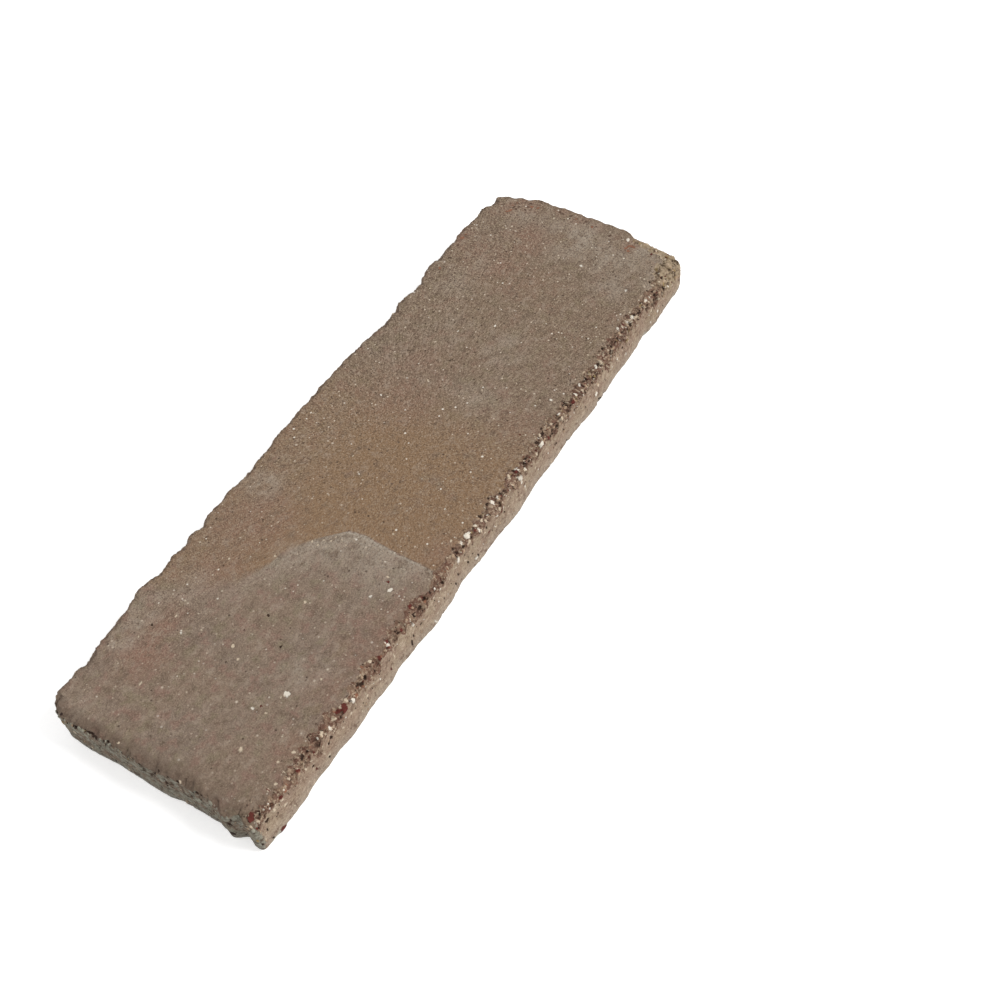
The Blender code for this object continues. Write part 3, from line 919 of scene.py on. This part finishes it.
class Shader:
    """One material's nodes, added and linked by value."""

    def __init__(self, name):
        self.material = bpy.data.materials.new(name)
        self.material.use_nodes = True
        self.tree = self.material.node_tree

    def set(self, node, sockets):
        """Set sockets to numbers or colours, or link them to another node's output."""
        for name, value in sockets.items():
            if isinstance(value, bpy.types.NodeSocket):
                self.tree.links.new(value, node.inputs[name])
            else:
                node.inputs[name].default_value = value

    def surface(self, sockets):
        """Set sockets of the material's surface."""
        self.set(self.tree.nodes["Principled BSDF"], sockets)

    def add(self, kind, sockets, **settings):
        """Outputs of a new node of this kind, such as Math for ShaderNodeMath."""
        node = self.tree.nodes.new("ShaderNode" + kind)
        for name, value in settings.items():
            setattr(node, name, value)
        self.set(node, sockets)
        return node.outputs

    def take_place(self):
        """Keep the place on the object, which noise, cells and dots follow."""
        self.where = self.add("TexCoord", {})["Object"]
        self.x, self.y, self.z = self.add("SeparateXYZ", {"Vector": self.where})

    def noise(self, size, detail=2.0, roughness=0.5):
        """Noise whose features are about this many mm wide, from 0 to 1."""
        return self.add("TexNoise", {
            "Vector": self.where, "Scale": 1.0 / (size * MM), "Detail": detail,
            "Roughness": roughness})[0]

    def cells(self, size, output="Distance", feature="F1"):
        """Voronoi cells about this many mm wide."""
        sockets = {"Vector": self.where, "Scale": 1.0 / (size * MM)}
        return self.add("TexVoronoi", sockets, feature=feature)[output]

    def split(self, colour):
        """The three channels of a colour."""
        return self.add("SeparateColor", {"Color": colour})[:3]

    def attribute(self, name):
        """Colour and fourth value, Alpha, of a vertex attribute."""
        return self.add("Attribute", {}, attribute_name=name)

    def channels(self, name):
        """The four values of a vertex attribute."""
        outputs = self.attribute(name)
        return (*self.split(outputs["Color"]), outputs["Alpha"])

    def rise(self, value, low, high, least=0.0, most=1.0):
        """A smooth rise of value from low to high."""
        sockets = {"Value": value, "From Min": low, "From Max": high, "To Min": least,
                   "To Max": most}
        return self.add("MapRange", sockets, interpolation_type="SMOOTHSTEP")[0]

    def math(self, operation, first, second):
        """The result of a maths operation on two values."""
        return self.add("Math", {0: first, 1: second}, operation=operation)[0]

    def times(self, first, *others):
        """The product of these values."""
        for other in others:
            first = self.math("MULTIPLY", first, other)
        return first

    def mix(self, share, first, second):
        """First, going over to second as share rises."""
        return self.add("Mix", {0: share, 6: first, 7: second}, data_type="RGBA")[2]

    def lay(self, colour, *rows):
        """Lay tints over a colour: share, most that it covers, and tint as in the photograph."""
        for share, most, tint in rows:
            colour = self.mix(self.times(share, most), colour, srgb(*tint))
        return colour

    def shade(self, colour, *rows):
        """Lay tints over a colour as values rise: value, low, high, most, tint and a limit."""
        for value, low, high, most, tint, *limit in rows:
            share = self.times(self.rise(value, low, high, 0.0, most), *limit)
            colour = self.mix(share, colour, srgb(*tint))
        return colour

    def dots(self, size, chosen, radius, *limit):
        """Dots of up to this radius, in this share of the cells of this size, in mm."""
        draw = self.split(self.cells(size, "Color"))
        reach = self.rise(draw[1], 0.0, 1.0, 0.35 * radius / size, radius / size)
        edge = self.math("SUBTRACT", reach, self.cells(size))
        return self.times(self.math("LESS_THAN", draw[0], chosen),
                          self.rise(edge, -0.05, 0.05), *limit)


def film_share(clay, patch, ripple, film_inside, film_spots):
    """Share of the pale dried film on the sawn back, and of its bright rim."""
    blur = clay.rise(clay.y, -4.0 * MM, 14.0 * MM, 0.0, 0.11)
    shaky = clay.math("ADD", film_inside,
                      clay.times(clay.math("SUBTRACT", ripple, 0.5), 0.03))
    film = clay.rise(shaky, clay.math("SUBTRACT", 0.497, blur),
                     clay.math("ADD", 0.507, blur))
    rim_side = clay.times(clay.rise(clay.y, -23.0 * MM, -29.0 * MM),
                          clay.rise(clay.x, -28.0 * MM, -36.0 * MM, 0.4, 1.0))
    film = clay.times(film, clay.rise(film_inside, 1.0, 0.48, 0.08, 1.0),
                      clay.rise(clay.y, 20.0 * MM, -2.0 * MM, 0.14, 1.0),
                      clay.rise(patch, 0.2, 0.65, 0.35, 1.0),
                      clay.math("SUBTRACT", 1.0, rim_side))
    film = clay.math("MAXIMUM", film, clay.times(film_spots, clay.rise(patch, 0.3, 0.65)))
    rim = clay.times(clay.rise(shaky, 0.499, 0.507), clay.rise(shaky, 0.530, 0.510),
                     clay.rise(clay.y, 4.0 * MM, -6.0 * MM))
    return film, rim


def orange_share(clay, patch, film_inside):
    """Share of the orange-brown area beyond the film's edge."""
    blur = clay.rise(clay.y, 0.0, 18.0 * MM, 0.0, 0.10)
    outside = clay.rise(film_inside, clay.math("ADD", 0.50, blur),
                        clay.math("SUBTRACT", 0.49, blur))
    return clay.times(outside, clay.rise(clay.x, 34.0 * MM, 4.0 * MM),
                      clay.rise(clay.y, 24.0 * MM, 8.0 * MM, 0.62, 1.0),
                      clay.rise(patch, 0.1, 0.5))


def grit_share(clay):
    """How gritty the sawn back is: most towards the far end and the crisp side."""
    crisp = clay.times(clay.rise(clay.y, 4.0 * MM, 24.0 * MM, 0.0, 0.5),
                       clay.rise(clay.x, -95.0 * MM, -70.0 * MM))
    return clay.math("ADD", clay.rise(clay.x, -70.0 * MM, 50.0 * MM, 0.85, 1.80), crisp)


def sawn_colour(clay, tints, marks):
    """Colour of the sawn back: mottled brown clay with cut grains and a pale dried film, with
    painted shade in its pits and along its arrises.
    """
    film_inside, film_spots, red_spots = tints
    edge, rim, end_arris_shade = marks
    drift = clay.noise(22.0, 3.0, 0.6)
    patch = clay.noise(6.0, 3.0, 0.6)
    mottle = clay.noise(3.1, 4.0, 0.65)
    hue = clay.noise(4.3, 2.0, 0.6)
    ripple = clay.noise(1.6, 2.0, 0.6)
    film_grain = clay.noise(0.9, 2.0, 0.7)
    grain = clay.noise(0.42, 1.0, 0.6)
    crumb = clay.noise(0.85, 2.0, 0.65)
    gritty = grit_share(clay)
    orange = orange_share(clay, patch, film_inside)
    calm = clay.math("SUBTRACT", 1.0, clay.times(orange, 0.55))
    red = clay.times(red_spots, clay.rise(patch, 0.32, 0.62, 0.3, 1.0))
    film, film_rim = film_share(clay, patch, ripple, film_inside, film_spots)
    crowd = clay.times(clay.rise(clay.noise(9.0), 0.54, 0.66), gritty)

    colour = clay.shade(
        srgb(129, 112, 98),
        (drift, 0.38, 0.62, 1.0, (134, 114, 97)),
        (hue, 0.52, 0.66, 0.75, (137, 107, 94)),
        (hue, 0.47, 0.34, 0.75, (129, 116, 94)),
    )
    colour = clay.lay(colour, (orange, 1.0, (140, 112, 85)))
    colour = clay.shade(colour, (clay.x, 0.0, 60.0 * MM, 0.45, (129, 109, 88)))
    colour = clay.lay(
        colour,
        (red, 1.0, (139, 107, 91)),
        (film, 1.0, (159, 146, 131)),
        (film_rim, 0.45, (178, 168, 154)),
    )
    colour = clay.shade(
        colour,
        (film_grain, 0.52, 0.68, 0.60, (186, 174, 160), film),
        (film_grain, 0.48, 0.33, 0.60, (110, 94, 81), film),
        (mottle, 0.51, 0.68, 0.68, (158, 141, 125), calm),
        (mottle, 0.49, 0.32, 0.68, (108, 91, 77), calm),
        (grain, 0.52, 0.74, 0.42, (184, 163, 139), gritty),
        (grain, 0.48, 0.27, 0.46, (84, 68, 54), gritty),
        (crumb, 0.54, 0.72, 0.40, (168, 149, 130), gritty),
        (crumb, 0.46, 0.29, 0.40, (96, 78, 64), gritty),
        (ripple, 0.55, 0.75, 0.35, (156, 137, 120)),
        (ripple, 0.42, 0.28, 0.35, (106, 87, 73)),
    )
    holes = clay.dots(1.9, 0.26, 0.30)
    rim_holes = clay.dots(1.05, 0.55, 0.30, rim)
    colour = clay.lay(
        colour,
        # Dark pits, here and near the broken rim: painted shade inside them
        (holes, 0.75, (70, 53, 43)),
        (clay.dots(1.3, 0.30, 0.29, gritty), 0.52, (80, 63, 51)),
        (rim_holes, 1.0, (84, 62, 50)),
        (clay.dots(1.45, 0.45, 0.34, rim), 1.0, (196, 176, 152)),
        (clay.dots(1.4, 0.26, 0.28, gritty), 0.52, (206, 190, 170)),
        (clay.dots(2.4, 0.20, 0.33, clay.rise(gritty, 0.8, 1.3, 0.3, 1.0)), 0.95,
         (236, 227, 213)),
        (clay.dots(1.15, 0.34, 0.27, crowd), 0.60, (224, 212, 196)),
        (clay.dots(4.6, 0.30, 0.34), 0.85, (210, 195, 176)),
        # Painted shade along the crisp arris, the far end and the chips
        (edge, 0.70, (92, 76, 65)),
        # Painted shade along the near end's rounded arris
        (end_arris_shade, 0.62, (98, 82, 69)),
    )
    return colour, clay.math("SUBTRACT", grain, clay.math("MAXIMUM", holes, rim_holes))


def side_colour(clay):
    """Colour of the moulded sides: sandy tan with lime flecks, lighter than the sawn back partly
    in the clay and partly as painted light.
    """
    patch = clay.noise(4.5, 3.0, 0.6)
    blotch = clay.noise(2.2, 3.0, 0.6)
    fleck = clay.noise(1.1, 3.0, 0.65)
    grain = clay.noise(0.4, 1.0, 0.6)
    # The base tan is partly painted light, standing in for the light that falls on the side
    colour = clay.shade(
        srgb(147, 124, 106),
        (patch, 0.35, 0.65, 1.0, (157, 138, 116)),
        (clay.z, 6.0 * MM, 1.0 * MM, 0.7, (163, 149, 134)),
        (blotch, 0.54, 0.68, 0.55, (180, 160, 139)),
        (blotch, 0.46, 0.32, 0.70, (112, 90, 74)),
        (fleck, 0.56, 0.70, 0.80, (190, 171, 150)),
        (fleck, 0.43, 0.29, 0.80, (112, 88, 72)),
        (grain, 0.52, 0.74, 0.45, (190, 172, 151)),
        (grain, 0.48, 0.28, 0.45, (98, 78, 64)),
    )
    return clay.lay(
        colour,
        (clay.dots(1.9, 0.24, 0.34), 0.65, (92, 68, 55)),
        (clay.dots(2.0, 0.36, 0.38), 0.8, (208, 192, 172)),
    )


def break_colour(clay, worn):
    """Colour of the torn body along the arris: dark red-brown between tan grains."""
    patch = clay.noise(3.0, 3.0, 0.6)
    grain = clay.noise(0.6, 2.0, 0.65)
    pale_lot, dark_lot, _ = clay.split(clay.cells(0.62, "Color"))
    return clay.shade(
        srgb(114, 84, 70),
        (patch, 0.38, 0.62, 1.0, (138, 114, 94)),
        (worn, 0.0, 0.7, 0.9, (166, 148, 122)),
        (pale_lot, 0.66, 0.97, 0.7, (186, 166, 142)),
        (dark_lot, 0.66, 0.96, 0.65, (86, 56, 45), clay.rise(worn, 0.0, 1.0, 1.0, 0.5)),
        (grain, 0.52, 0.72, 0.55, (190, 170, 146)),
        (grain, 0.48, 0.28, 0.60, (78, 55, 44)),
    )


def end_colour(clay):
    """Colour of the near end: a thin grey-green coat over brown clay, with painted shade in small
    pits.
    """
    patch = clay.noise(3.2, 3.0, 0.65)
    blotch = clay.noise(2.1, 2.0, 0.6)
    grain = clay.noise(1.0, 3.0, 0.65)
    fine = clay.noise(0.45, 1.0, 0.6)
    colour = clay.shade(
        srgb(126, 108, 92),
        (patch, 0.42, 0.58, 1.0, (132, 127, 113)),
        (clay.z, 4.2 * MM, 1.6 * MM, 0.8, (139, 135, 127)),
        (blotch, 0.54, 0.66, 0.70, (158, 154, 141)),
        (blotch, 0.46, 0.34, 0.75, (84, 68, 55)),
        (grain, 0.54, 0.68, 0.80, (162, 160, 144)),
        (grain, 0.46, 0.32, 0.85, (80, 66, 54)),
    )
    upper = clay.rise(clay.z, 3.0 * MM, 6.0 * MM)
    colour = clay.lay(
        colour,
        # Dark pits: painted shade inside them
        (clay.dots(1.7, 0.35, 0.40), 0.85, (60, 49, 41)),
        (clay.dots(1.5, 0.25, 0.30, upper), 0.7, (174, 170, 152)),
    )
    return clay.shade(
        colour,
        (fine, 0.54, 0.76, 0.45, (170, 166, 150)),
        (fine, 0.46, 0.27, 0.45, (74, 62, 52)),
    )


def natural_colour(clay):
    """Colour of the natural face: pale lime over mauve-brown, with fine cracks."""
    patch = clay.noise(14.0, 4.0, 0.6)
    grain = clay.noise(1.1, 3.0, 0.6)
    colour = clay.shade(
        srgb(158, 144, 130),
        (patch, 0.40, 0.62, 1.0, (184, 180, 166)),
        (grain, 0.45, 0.28, 0.6, (118, 100, 86)),
    )
    from_crack = clay.cells(5.0, feature="DISTANCE_TO_EDGE")
    cracks = clay.times(clay.rise(from_crack, 0.0, 0.035, 1.0, 0.0),
                        clay.rise(clay.noise(6.0), 0.45, 0.6))
    return clay.lay(colour, (cracks, 0.7, (82, 66, 56))), cracks


def make_clay():
    """Fired clay, which changes with the zone of the slip."""
    clay = Shader("fired_clay_skin")
    clay.take_place()
    in_break, natural, at_near_end, sawn = clay.channels("zones")
    film_inside, film_spots, red_spots, worn = clay.channels("tints")
    # The marks carry painted shade of the torn body's hollows, of the arrises and of the near
    # end, and the broken rim's share
    hollow, *marks = clay.channels("marks")
    grains = clay.attribute("grains")

    back, back_relief = sawn_colour(clay, (film_inside, film_spots, red_spots), marks)
    face, cracks = natural_colour(clay)
    natural = clay.rise(natural, 0.3, 0.7)
    sawn = clay.rise(sawn, 0.4, 0.6)
    torn = clay.rise(in_break, 0.3, 0.7)
    colour = side_colour(clay)
    for share, over in (
        (clay.rise(at_near_end, 0.3, 0.7), end_colour(clay)),
        (natural, face),
        (sawn, back),
        (torn, break_colour(clay, worn)),
    ):
        colour = clay.mix(share, colour, over)
    # Painted shade in the hollows of the torn body
    colour = clay.shade(colour, (hollow, 0.15, 0.85, 0.80, (60, 41, 32), torn))
    colour = clay.mix(clay.rise(grains["Alpha"], 0.25, 0.65), colour, grains["Color"])

    fine = clay.noise(0.35, 3.0, 0.65)
    height = clay.math("ADD", fine, clay.times(back_relief, sawn))
    height = clay.math("SUBTRACT", height, clay.times(cracks, natural))
    bump = clay.add("Bump", {"Height": height, "Distance": 0.20 * MM, "Strength": 0.8})
    clay.surface({
        "Base Color": colour, "Roughness": clay.rise(fine, 0.3, 0.7, 0.86, 0.98),
        "Normal": bump[0], "Specular IOR Level": 0.25})
    return clay.material


# The studio

def make_floor():
    """A plain white floor, far larger than the view, which reads a little brighter than lit."""
    bpy.ops.mesh.primitive_plane_add(size=FLOOR_SIZE, location=(0.0, 0.0, 0.0))
    floor = bpy.context.object
    floor.name = "floor"
    shader = Shader("white_floor")
    rays = shader.add("LightPath", {})
    seen = shader.math("MAXIMUM", rays["Is Camera Ray"],
                       shader.math("MAXIMUM", rays["Is Glossy Ray"], rays["Is Transmission Ray"]))
    shader.surface({
        "Base Color": (FLOOR_GREY, FLOOR_GREY, FLOOR_GREY, 1.0), "Roughness": 0.9,
        "Specular IOR Level": 0.0, "Emission Color": (1.0, 1.0, 1.0, 1.0),
        "Emission Strength": shader.times(seen, FLOOR_GLOW)})
    floor.data.materials.append(shader.material)


def make_world():
    """Even white light from all round."""
    world = bpy.data.worlds.new("studio")
    bpy.context.scene.world = world
    world.use_nodes = True
    background = world.node_tree.nodes["Background"]
    background.inputs["Color"].default_value = (1.0, 1.0, 1.0, 1.0)
    background.inputs["Strength"].default_value = WORLD_STRENGTH


def add_sun(name, direction, strength, spread):
    """A soft sun that shines from this direction."""
    data = bpy.data.lights.new(name, "SUN")
    data.energy = strength
    data.angle = spread
    lamp = add_object(name, data)
    lamp.rotation_euler = Vector(direction).to_track_quat("Z", "Y").to_euler()


sawn_grains = list_grains(SAWN_GRAINS, on_sawn_back)
make_camera()
make_world()
make_floor()
add_sun("key", SUN_DIRECTION, SUN_STRENGTH, SUN_SPREAD)
skin = make_skin()
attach(skin, "root")
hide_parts("brick_slip")

bpy.context.scene.view_settings.view_transform = "Standard"
